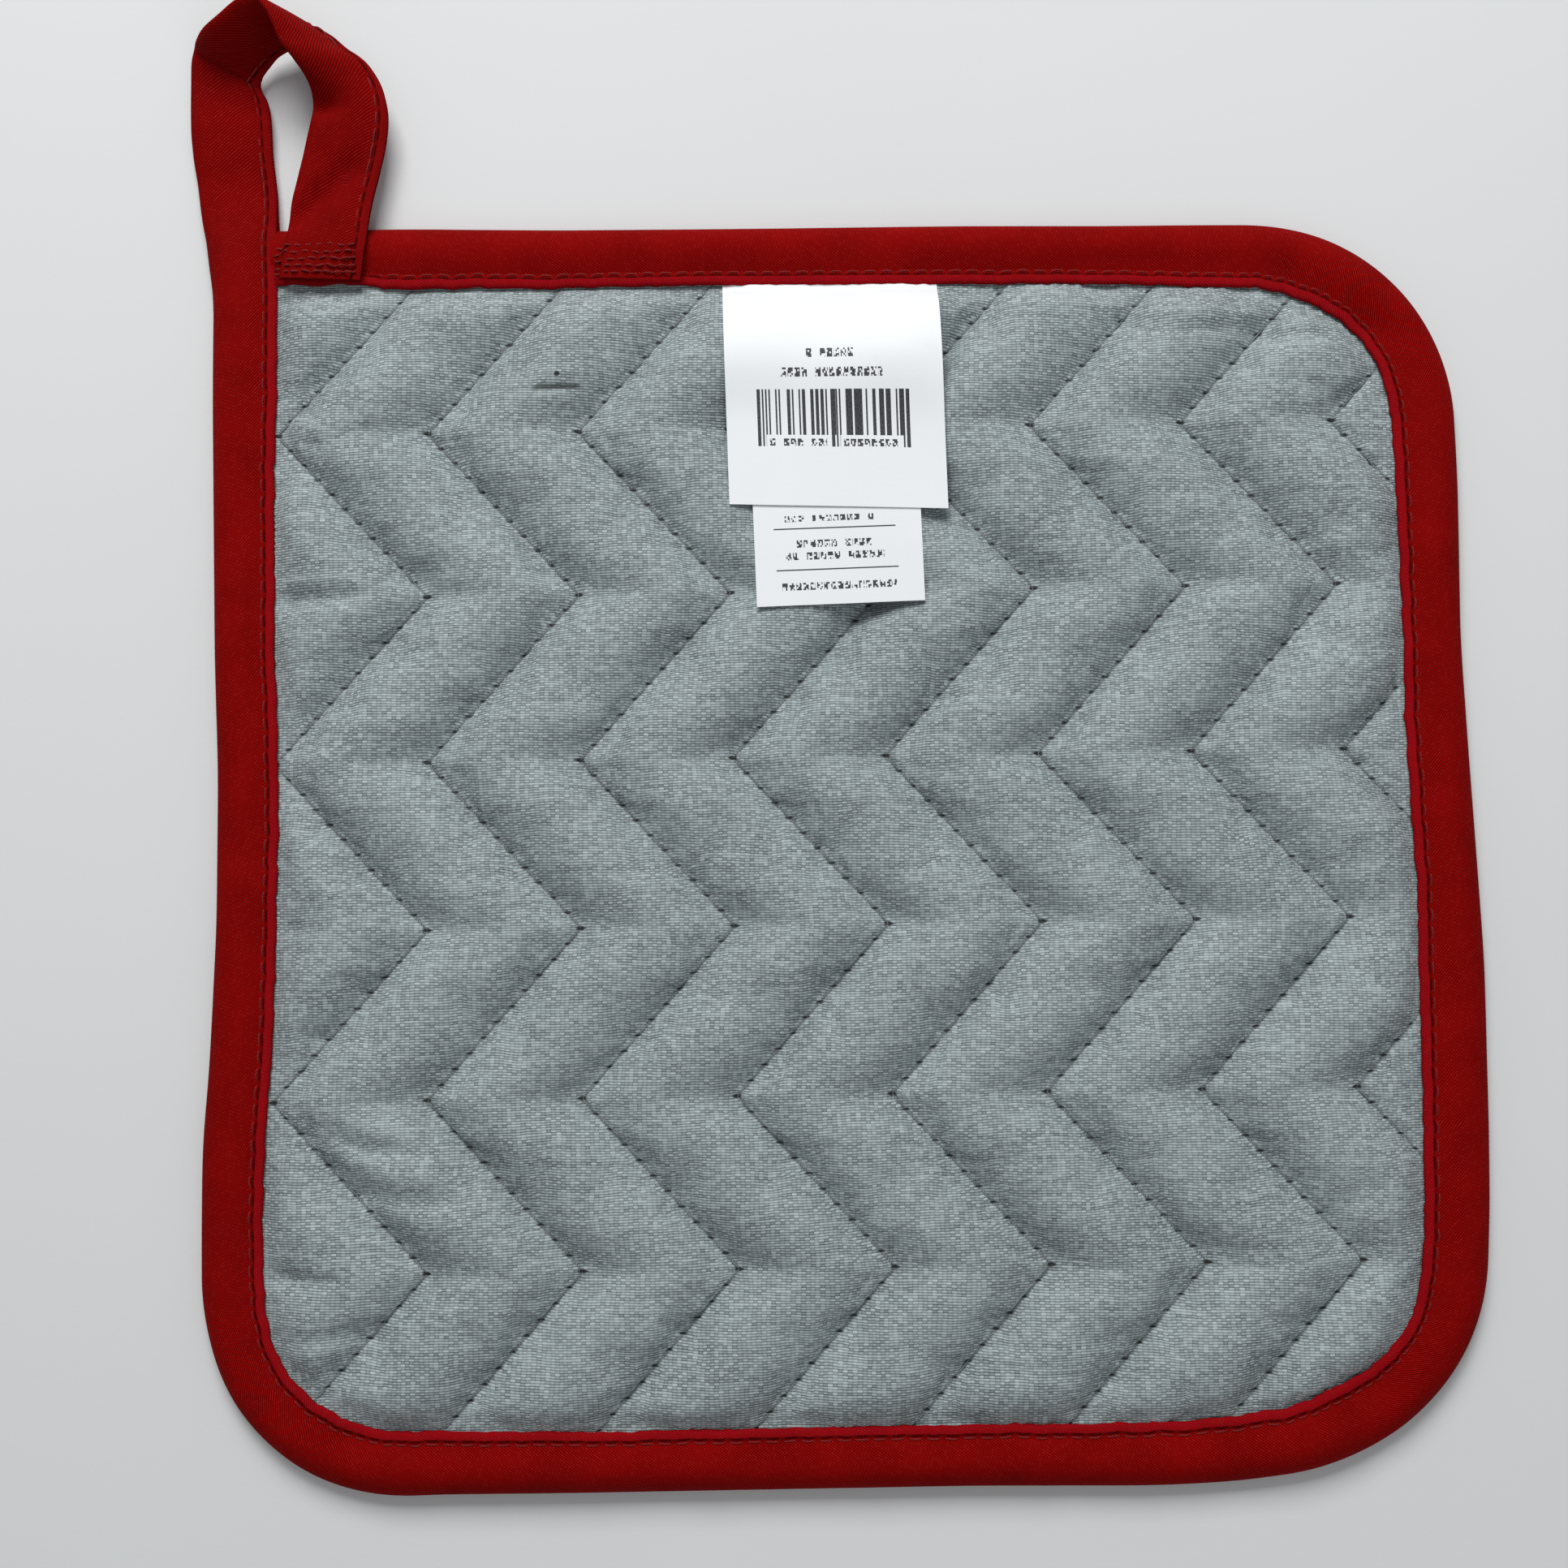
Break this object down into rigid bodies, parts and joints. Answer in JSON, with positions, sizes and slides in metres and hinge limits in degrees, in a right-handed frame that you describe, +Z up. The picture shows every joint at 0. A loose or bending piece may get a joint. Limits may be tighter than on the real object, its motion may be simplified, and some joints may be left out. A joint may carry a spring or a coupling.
{
  "type": "quilted pot holder",
  "caption": "Flat square padded kitchen holder with chevron quilting, bound edge, sewn-in labels and a twisted hanging loop at one corner.",
  "frame": {"origin": "centre of the under side, on the surface the holder rests on", "axes": "+X to the right with the loop at the top left, +Y towards the loop's edge, +Z up from the table"},
  "size_m": [0.2083, 0.2376, 0.0141],
  "materials": {
    "silver_cloth": "silver-grey heat-resistant weave",
    "wadding": "needled padding",
    "cotton_cloth": "plain cotton weave",
    "red_tape": "diagonal twill, matte",
    "red_thread": "spun thread",
    "grey_thread": "spun thread",
    "label": "smooth printed label cloth"
  },
  "bodies": {
    "pad": {"heat_face_cloth": "silver_cloth", "wadding": "wadding", "front_cloth": "cotton_cloth", "edge_binding": "red_tape", "loop_sewn_end": "red_tape", "loop_bar_tack": "red_thread", "binding_needle_thread": "red_thread", "binding_bobbin_thread": "red_thread", "quilt_needle_thread_1": "grey_thread", "quilt_needle_thread_2": "grey_thread", "quilt_needle_thread_3": "grey_thread", "quilt_needle_thread_4": "grey_thread", "quilt_needle_thread_5": "grey_thread", "quilt_needle_thread_6": "grey_thread", "quilt_needle_thread_7": "grey_thread", "quilt_needle_thread_8": "grey_thread", "quilt_bobbin_thread_1": "grey_thread", "quilt_bobbin_thread_2": "grey_thread", "quilt_bobbin_thread_3": "grey_thread", "quilt_bobbin_thread_4": "grey_thread", "quilt_bobbin_thread_5": "grey_thread", "quilt_bobbin_thread_6": "grey_thread", "quilt_bobbin_thread_7": "grey_thread", "quilt_bobbin_thread_8": "grey_thread"},
    "hanging_loop": {"hanging_loop": "red_tape"},
    "care_label": {"care_label": "label"},
    "barcode_label": {"barcode_label": "label"}
  },
  "joints": [
    {"name": "loop_fold", "type": "hinge", "parent": "pad", "child": "hanging_loop", "pos_m": [-0.0902, 0.1022, 0.005], "axis": [1, 0, 0], "range_deg": [0, 115]},
    {"name": "care_label_lift", "type": "hinge", "parent": "pad", "child": "care_label", "pos_m": [-0.0003, 0.0913, 0.00462], "axis": [-1, 0, 0], "range_deg": [0, 60]},
    {"name": "barcode_label_lift", "type": "hinge", "parent": "care_label", "child": "barcode_label", "pos_m": [-0.0006, 0.0913, 0.00517], "axis": [-1, 0, 0], "range_deg": [0, 60]}
  ]
}
